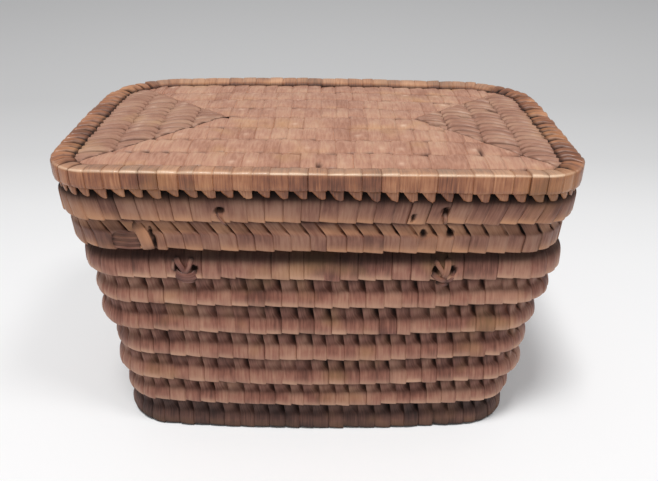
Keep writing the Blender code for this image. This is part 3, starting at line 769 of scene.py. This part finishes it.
# Narrow strips of redder root, polished by the fingers that pulled them through.
TIE_ROOT = split_root("tie_root", ("#4f2b23", "#6d3e32", "#88594a", "#9b705c", "#a57e61"), "#150b08",
                      "#d99a5c", 0.42, gold_tone="#a87450")
LEFT_TIE = [
    ([(-3.2, 9.2, -1.0), (-2.6, 7.2, 0.1), (-1.3, 4.9, 0.3), (-0.3, 2.9, 0.4), (0.2, 1.2, -0.6)], 2.2, 0.4),
    ([(2.9, 8.9, -1.0), (2.0, 6.9, 0.1), (1.3, 5.0, 0.5), (0.3, 3.3, 0.6), (-0.9, 1.8, 0.1)], 1.8, 0.4),
    ([(-4.8, 2.9, -1.0), (-2.9, 1.7, 0.2), (-0.3, 1.1, 0.5), (2.6, 1.4, 0.3), (4.6, 2.7, -1.0)], 3.3, 0.6),
    ([(-3.9, 0.4, -0.8), (-1.0, -0.9, 0.0), (1.7, -1.0, 0.1), (3.6, -0.2, -0.8)], 1.5, 0.5),
    ([(-4.2, 8.0, -1.0), (-4.4, 6.2, 0.0), (-4.6, 4.2, 0.0), (-4.2, 2.6, -0.6)], 1.3, 0.4)]
RIGHT_TIE = [
    ([(-3.6, 8.8, -1.0), (-2.4, 6.8, 0.2), (-0.7, 4.2, 0.4), (0.5, 1.8, 0.3), (1.6, 0.2, -0.8)], 1.7, 0.4),
    ([(1.2, 9.2, -1.2), (1.3, 6.8, 0.2), (1.0, 4.4, 0.5), (0.4, 2.2, 0.5), (-0.6, 0.2, -0.6)], 2.4, 0.45),
    ([(-4.6, 3.0, -0.8), (-2.8, 1.5, 0.2), (-0.4, 0.3, 0.3), (2.2, -0.2, -0.5)], 2.0, 0.5),
    ([(4.7, 3.9, -0.8), (3.7, 1.8, 0.1), (2.2, 0.3, 0.3), (0.2, -0.8, -0.7)], 1.8, 0.45),
    ([(-2.6, -0.9, -0.6), (-0.4, -1.9, 0.0), (2.3, -1.7, -0.6)], 1.4, 0.4)]
TIE_DRIFT = 1.0
for node, x_at, runs, number in (("tie_left", -49.1, LEFT_TIE, 2200), ("tie_right", 46.5, RIGHT_TIE, 2300)):
    grid = strip_grid(runs, on_front("body_course_7", MOUTH_BOW, x_at, TIE_DRIFT, COURSE_LIFTS[6]), number)
    sewn_piece(f"knotted_{node}", [grid], TIE_ROOT, "basket", [node])


# Lid wall: two more turns on edge. Below, the stitch ends slant in a neat row of leaning strips; above,
# the coil is sunk deep under the rim and only the points of the rim's own stitches reach down over it.
# One stitch near the left corner has broken away and shows the coil's slats; three lacing holes remain.

LID_PITCH, LID_SET_BACK = 12.7, 0.4
LID_FOOT_BOW, LID_BOW = 3.15, 1.88
LID_DRIFT, LID_FOOT_DRIFT = -0.3, -0.9
LID_LIFTS = ((-0.1, 1.3, -0.6), (0.4, 0.8, -0.4), (-0.1, 0.9, -0.9), (-0.1, 0.35, -0.6))
BACK_DRAW, BACK_CORNER = 2.5, 27.0
# The same root as the body's, but its edges are rubbed orange by the hands that lifted the lid; the same
# tone paints highlights on the lid's lower stitch ends.
LID_TONES = ("#5c3528", "#724535", "#855644", "#946752", "#9d715b")
LID_ROOT = split_root("aged_lid_wall_root", LID_TONES, "#1b0e0a", "#cf966c", 0.46, grain=(0.85, 10.0),
                      relief=0.4)

LEAN_PLACES = (0, 0.06, 0.45, 0.77, 0.84, 0.97, 1.0)
LEAN_DEPTHS = (0.45, 0.42, 0.14, -0.12, -1.0, -1.4, 0.45)
# The third column is painted shade under the coil above.
LEAN_ROWS = (
    (0.34, 2.2, 0, 0), (0.28, 3.4, 0, 0), (0.22, 4.6, 0, 0), (0.17, 5.7, 0, 0), (0.13, 6.6, 0.02, 0),
    (0.12, 7.2, 0.06, 0.15), (0.25, 7.7, 0.12, 0.6), (0.5, 8.2, 0.08, 1), (0.7, 9.0, 0.03, 0.95),
    (0.85, 9.9, 0.02, 0.85), (1.0, 10.8, 0.05, 0.75), (1.1, 11.6, 0.18, 0.65), (1.25, 12.3, 0.7, 0.6),
    (1.9, 13.6, 1, 0.5))
# These pits are painted dark inside as shade.
BROKEN = ((-71.2, 3.7, 3.4, 3.4, 1.5), (-67.4, 3.7, 3.4, 3.4, 1.5), (-60.0, 7.2, 0.7, 2.4, 1.8),
          (-58.9, 3.2, 0.8, 3.6, 1.8), (37.6, 8.2, 1.2, 1.6, 1.6), (47.2, 8.4, 1.3, 1.6, 1.6))
SLAT_HEIGHTS = (0.8, 1.8, 2.8, 3.8, 4.8, 5.8, 6.7)
SLAT_DARK = (0.1, 0.5, 0.15, 0.45, 0.05, 0.5, 0.25)
SLATS = [([(-6.6, up, -1.6), (-3.6, up + 0.2, -0.8), (0.3, up - 0.1, -0.7), (4.2, up, -0.8),
           (6.4, up + 0.1, -1.7)], 1.45, 0.8) for up in SLAT_HEIGHTS]
LOOSE = [([(3.4, 11.2, -1.5), (6.3, 7.8, 0.1), (7.6, 4.6, 0.6), (8.3, 1.4, 0.5), (8.5, 0.1, -0.8)], 4.5, 0.7)]
LOOSE_RUB = 0.35

path, foot = course_path("lid_course_1", LID_FOOT_BOW, (19.0, 17.3), swell=1.3, draw=BACK_DRAW)
section = wall_section(LID_PITCH, LID_SET_BACK, LEAN_ROWS)
# Painted light on the leaning stitch ends, which lie in shade under the coil above.
section["rub_and_highlight"][12:17] = (0.15, 0.35, 0.40, 0.40, 0.30)
rows = stitch_rows(section, LEAN_PLACES, LEAN_DEPTHS, 0.78, 7.4, black=0.95, fan=(0.15, 0.0))
lower_grid = wrapped_coil(path, section, rows, foot, 71, 2400, drift=LID_FOOT_DRIFT, phase=0.2, pits=BROKEN,
                          lifts=LID_LIFTS[:2])
slat_grid, loose_grid = (
    strip_grid(runs, on_front("lid_course_1", LID_FOOT_BOW, x_at, LID_DRIFT, LID_LIFTS[0]), number)
    for runs, x_at, number in ((SLATS, -69.0, 2600), (LOOSE, -69.5, 2650)))
slat_grid["gap_shade"] = slat_grid["gap_shade"] + np.array(SLAT_DARK)[:, None, None]
loose_grid["rub_and_highlight"] += LOOSE_RUB
sewn_piece("woven_lid_1", [lower_grid, slat_grid, loose_grid], LID_ROOT, "lid", ["lid_course_1"])

# The third column is painted shade in the recess under the rim.
DEEP_ROWS = (
    (0.34, 2.2, 0, 0), (0.28, 3.4, 0.02, 0), (0.22, 4.6, 0.05, 0), (0.18, 5.6, 0.11, 0), (0.15, 6.4, 0.19, 0),
    (0.14, 7.1, 0.29, 0), (0.16, 7.8, 0.43, 0), (0.30, 8.5, 0.59, 0), (0.65, 9.2, 0.78, 0),
    (1.2, 10.0, 0.93, 0), (1.8, 10.9, 1, 0), (2.5, 11.8, 1, 0), (3.4, 13.2, 1, 0))
# The lacing holes are painted dark inside as shade.
LACING_HOLES = ((-34.2, 4.9, 1.7, 1.0, 2.6), (33.3, 3.0, 0.7, 1.3, 2.2), (44.7, 5.4, 1.2, 1.6, 2.6))
TORN = [([(-1.4, 4.0, -0.8), (-0.4, 2.6, 0.3), (0.8, 0.6, 0.3), (2.0, -1.2, -0.6)], 0.9, 0.5),
        ([(78.2, 4.2, -1.4), (78.6, 2.8, 0.1), (78.6, 1.2, 0.2), (78.6, 0.0, -0.8)], 1.4, 0.6)]
path, foot = course_path("lid_course_2", LID_BOW, (BACK_CORNER - 1.2, 15.3), draw=BACK_DRAW)
section = wall_section(LID_PITCH, LID_SET_BACK, DEEP_ROWS)
rows = stitch_rows(section, FACE_PLACES, FACE_DEPTHS, 0.1, 7.6, fan=(0.36, 0.09))
upper_grid = wrapped_coil(path, section, rows, foot, 72, 2500, drift=LID_DRIFT, phase=-0.25,
                          pits=LACING_HOLES, lifts=LID_LIFTS[1:3])
torn_grid = strip_grid(TORN, on_front("lid_course_2", LID_BOW, -34.0, LID_DRIFT, LID_LIFTS[1]), 2680)
sewn_piece("woven_lid_2", [upper_grid, torn_grid], LID_ROOT, "lid", ["lid_course_2"])


# Rim: the coil on the lid's edge, squared by its tight stitches, which wrap straight over it. On the two
# ends they bulge like rope, with a slit where each dives in beside the panel, painted black as shade.
# Every stitch ends under the rim in a point that is caught down on the coil below.

# The rim is what hands take hold of, so its root is the smoothest and yellowest; its crest is rubbed pale
# and painted with a highlight.
RIM_ROOT = split_root("rim_root", ("#663923", "#834e35", "#9e6443", "#b37955", "#c89069"), "#150b08",
                      "#f6d6b6", 0.30, relief=0.3, gold_tone="#b98350")
RIM_POINTS = [
    (6.0, 0.4), (4.0, 0.0), (2.2, 0.0), (1.2, 0.06), (0.5, 0.40), (0.1, 1.0), (0.0, 1.8), (0.0, 2.8),
    (0.0, 3.9), (0.0, 5.0), (0.02, 5.9), (0.06, 6.65), (0.24, 7.1), (0.55, 7.36), (1.1, 7.47), (2.2, 7.5),
    (3.4, 7.42), (4.6, 7.25), (5.8, 7.0), (6.8, 6.7), (7.7, 6.35), (8.15, 5.4), (7.9, 2.2), (7.2, 1.0)]
RIM_FACE = 4
RIM_BOW, RIM_CORNER, RIM_PITCHES = 1.9, 16.5, (6.35, 4.6)
RIM_DEPTHS = (0.02, 0.12, 0.16, 0.05, -0.26, -0.26, 0.02)
ROPE_PLACES = (0, 0.10, 0.32, 0.52, 0.68, 0.90, 1.0)
ROPE_DEPTHS = (0.25, 0.60, 0.62, 0.20, -0.85, -1.50, -0.30)
# Painted shade: the dark crescent beside each stitch of the rope.
ROPE_DARK = (0.0, 0.0, 0.05, 0.34, 0.7, 0.65, 0.2)
section = edge_section(RIM_POINTS)
# Painted shade under the rim and along its inner edge beside the panel.
section["shade"][:5] = (0.9, 0.9, 0.8, 0.6, 0.2)
section["shade"][19:] = (0.10, 0.55, 0.9, 1, 1)
# Painted highlight along the crest, and the top painted lighter where it faces up.
section["rub_and_highlight"][11:21] = (0.05, 0.60, 0.60, 0.28, 0.22, 0.22, 0.22, 0.22, 0.12, 0.0)
rows = stitch_rows(section, FACE_PLACES, FACE_DEPTHS, 0.0, 6.0)
rows["depths"][RIM_FACE:] = RIM_DEPTHS
rope = np.interp(np.arange(len(RIM_POINTS)), (8, 14, 17, 20, 21), (0.12, 0.2, 1.0, 1.0, 0.6))[:, None]
rope_rows = {"places": np.array(FACE_PLACES)[None] * (1 - rope) + np.array(ROPE_PLACES)[None] * rope,
             "depths": np.array(RIM_DEPTHS)[None] * (1 - rope) + np.array(ROPE_DEPTHS)[None] * rope,
             "dark": np.array(ROPE_DARK)[None] * rope ** 2}
rim_path, rim_foot = course_path("lid_rim", RIM_BOW, (BACK_CORNER, RIM_CORNER), pitches=RIM_PITCHES,
                                 swell=-1.2, draw=BACK_DRAW)
rim_grid = wrapped_coil(rim_path, section, rows, rim_foot, 73, 2700, drift=LID_DRIFT, end_stitch=rope_rows,
                        lifts=LID_LIFTS[2:])


POINT_LENGTH, POINT_SET_IN = 5.0, 1.2


def stitch_points(path, foot, seed, first):
    """The points of the rim's stitches: thin closed leaves, one to a stitch, as wide as the stitch under
    the rim; the left edge runs slantwise to the tip, the right edge straight down to it. Going round a
    leaf, the way across goes from right to left in front and back again behind."""
    rng = np.random.default_rng(seed)
    count = path["count"]
    down = np.array([0.0, 0.04, 0.25, 0.45, 0.65, 0.83, 0.96, 1.0])[None, :, None]
    number = np.arange(count)[:, None, None]
    length = POINT_LENGTH + rng.normal(0, 0.35, (count, 1, 1))
    left = 0.12 + (0.62 + rng.normal(0, 0.05, (count, 1, 1))) * down
    right = 0.98 + rng.normal(0, 0.03, (count, 1, 1)) * down
    way = np.array([1.0, 0.75, 0.5, 0.25, 0.0, 0.0, 0.25, 0.5, 0.75, 1.0])[None, None, :]
    back = np.array([0, 0, 0, 0, 0, 1, 1, 1, 1, 1])[None, None, :]
    thin = np.clip(np.minimum(down, 1 - down) * 25, 0.02, 1)
    travel = number + left + (right - left) * way
    inset = POINT_SET_IN + 0.9 - 0.4 * np.sin(down * math.pi) + 0.5 * down ** 2 + back * 0.8 * thin
    inset = inset + 0.15 * (1 - way) * down - 0.25 * np.sin(way * math.pi) * thin
    x, y, nx, ny = along_path(path, travel)
    z = foot + 0.5 - length * down + risen(LID_LIFTS[2], x)
    u = first + np.concatenate([travel, travel[:, :, :1]], axis=2)
    # The backs of the points and their roots under the rim are painted dark as shade.
    return {"x": x - nx * inset + LID_DRIFT, "y": y - ny * inset, "z": z, "u": u,
            "v": np.broadcast_to(length * down, u.shape),
            "gap_shade": np.broadcast_to(back * 0.7 + 0.25 * (down < 0.1), travel.shape),
            "rub_and_highlight": np.zeros(travel.shape), "round": 0, "long": 1}


sewn_piece("woven_rim", [rim_grid, stitch_points(rim_path, rim_foot, 74, 2700)], RIM_ROOT, "lid", ["lid_rim"])


# Lid panel: three rings of flat coil round a doubled one. The long runs lie like neat bricks, glossy and
# spotted with painted highlights; on the short ends the stitches stand up as arched ridges, coloured darker.

# Paler than the walls' root as painted light on the face turned up, with the slats' lumps under it and
# glossy where it stands up.
LID_TOP_ROOT = split_root("lid_top_root_painted_lit", ("#a4735d", "#b07f68", "#bc8b73", "#c4967b", "#cb9f83"),
                          "#381e15", "#f2cdb2", 0.36, grain=(0.8, 6.0), patchy=0.40, varied=0.19,
                          relief=0.6, lumps=3.2, gold_tone="#d8aa76")
LID_WIDTH, TOP_PITCH = 113.1, 12.0
DOME, DOME_LENGTH, DOME_WIDTH = 1.5, 88, 50
TOP_CORNER, TOP_FRONT_CORNER, CORNER_STEP, SHARP = 18.7, 8.2, 12.06, 0.8
RIDGE_ARCH = 2.2
# These slits are painted dark inside as shade.
TOP_SLITS = ((47.4, -6.6, 3.4, 1.5, 2.6), (60.6, 4.2, 3.2, 1.7, 2.6), (73.2, 14.0, 3.0, 1.3, 1.8),
             (59.6, -33.0, 0.9, 3.4, 1.6), (0.3, -47.6, 1.0, 2.0, 1.2), (2.4, -53.9, 2.2, 1.1, 1.4))


def lid_dome(x, y):
    """The panel has swelled: highest in the middle, nothing at its edges, by a square law both ways."""
    swelled = np.clip(1 - (x / DOME_LENGTH) ** 2, 0, 1) * np.clip(1 - (y / DOME_WIDTH) ** 2, 0, 1)
    return DOME * swelled + risen(LID_LIFTS[3], x)


for ring, nodes in enumerate((["lid_ring_1"], ["lid_ring_2"], ["lid_ring_3"],
                              ["lid_core_back", "lid_core_front"])):
    outer, bows, foot, head = ring_outline(nodes, RIM_BOW, END_BOW, LID_WIDTH)
    corners = (max(TOP_CORNER - CORNER_STEP * ring, SHARP), TOP_FRONT_CORNER if ring == 0 else SHARP)
    grid = flat_ring(outer, min(TOP_PITCH, outer[1] / 2 - LEAST_HALF_CORE), corners, bows, foot, head,
                     lid_dome, RIDGE_ARCH, 81 + ring, 3000 + 200 * ring, pits=TOP_SLITS,
                     draw=BACK_DRAW * outer[1] / LID_WIDTH)
    sewn_piece(f"woven_lid_top_{ring + 1}", [grid], LID_TOP_ROOT, "lid", nodes)


# Setting: a pale floor, painted grey behind the basket as shade, a soft lamp overhead and a weaker one
# to the right, which give two faint shadows, and the camera where the photographer stood, a little above
# and square to the long side.

FLOOR_REACH, FLOOR_DROP = 4, 0.0004
FLOOR_TONES = ((0.0, "#fbfbfb"), (0.10, "#f8f8f8"), (0.17, "#f2f2f2"), (0.27, "#e2e2e2"), (0.42, "#dadada"),
               (1.0, "#e9e9e9"))


def plain_floor(name, stops, roughness):
    """Matt paper whose tone follows the distance back from the basket, in metres: painted shade greys it
    behind the basket.
    """
    material = bpy.data.materials.new(name)
    material.use_nodes = True
    tree = material.node_tree
    shader = tree.nodes["Principled BSDF"]
    place = add(tree, "ShaderNodeTexCoord", {}, {})
    split = add(tree, "ShaderNodeSeparateXYZ", {}, {0: place.outputs["Object"]})
    back = add(tree, "ShaderNodeMapRange", {}, {"Value": split.outputs[1], "From Min": 0.0, "From Max": 1.0})
    tone = add(tree, "ShaderNodeValToRGB", {}, {0: back.outputs[0]})
    for position, _ in stops[2:]:
        tone.color_ramp.elements.new(position)
    for element, (position, code) in zip(tone.color_ramp.elements, stops):
        element.position = position
        element.color = linear(code)
    tree.links.new(tone.outputs["Color"], shader.inputs["Base Color"])
    shader.inputs["Roughness"].default_value = roughness
    return material


floor_mesh = bpy.data.meshes.new("floor")
floor_mesh.from_pydata([(x, y, 0) for x, y in ((-FLOOR_REACH, -FLOOR_REACH), (FLOOR_REACH, -FLOOR_REACH),
                                               (FLOOR_REACH, FLOOR_REACH), (-FLOOR_REACH, FLOOR_REACH))],
                       [], [(0, 1, 2, 3)])
floor_mesh.materials.append(plain_floor("pale_paper", FLOOR_TONES, 0.9))
floor = new_object("floor", floor_mesh)
floor.location.z = -FLOOR_DROP

world = bpy.data.worlds.new("soft_room")
world.use_nodes = True
background = world.node_tree.nodes["Background"]
background.inputs["Color"].default_value = linear("#f4f4f6")
background.inputs["Strength"].default_value = 0.34
bpy.context.scene.world = world

LAMP_SIZE, LAMPS_FACE = 0.30, (0, 0, 0.05)


def soft_lamp(name, place, power):
    """A square soft box that faces the middle of the basket."""
    lamp = bpy.data.lights.new(name, "AREA")
    lamp.size = LAMP_SIZE
    lamp.energy = power
    holder = new_object(name, lamp)
    holder.location = place
    x, y, z = np.array(LAMPS_FACE) - np.array(place)
    holder.rotation_euler = (math.atan2(math.hypot(x, y), -z), 0, math.atan2(-x, y))


soft_lamp("overhead", (-0.17, -0.42, 1.44), 13.4)
soft_lamp("right", (0.55, -0.42, 1.36), 4.2)

PHOTO_WIDTH, FOCAL_PIXELS = 658, 674.4
CAMERA_PLACE = (0.00478, -0.26595, 0.21468)
TILT, TURN, ROLL = 0.5063, 0.0037, 0.0038
camera_data = bpy.data.cameras.new("camera")
camera_data.lens = camera_data.sensor_width * FOCAL_PIXELS / PHOTO_WIDTH
camera_data.clip_start = 0.01
camera = new_object("camera", camera_data)
camera.location = CAMERA_PLACE
facing = Matrix.Rotation(TURN, 4, "Z") @ Matrix.Rotation(math.pi / 2 - TILT, 4, "X")
camera.rotation_euler = (facing @ Matrix.Rotation(ROLL, 4, "Z")).to_euler()
bpy.context.scene.camera = camera
bpy.context.scene.view_settings.view_transform = "Standard"
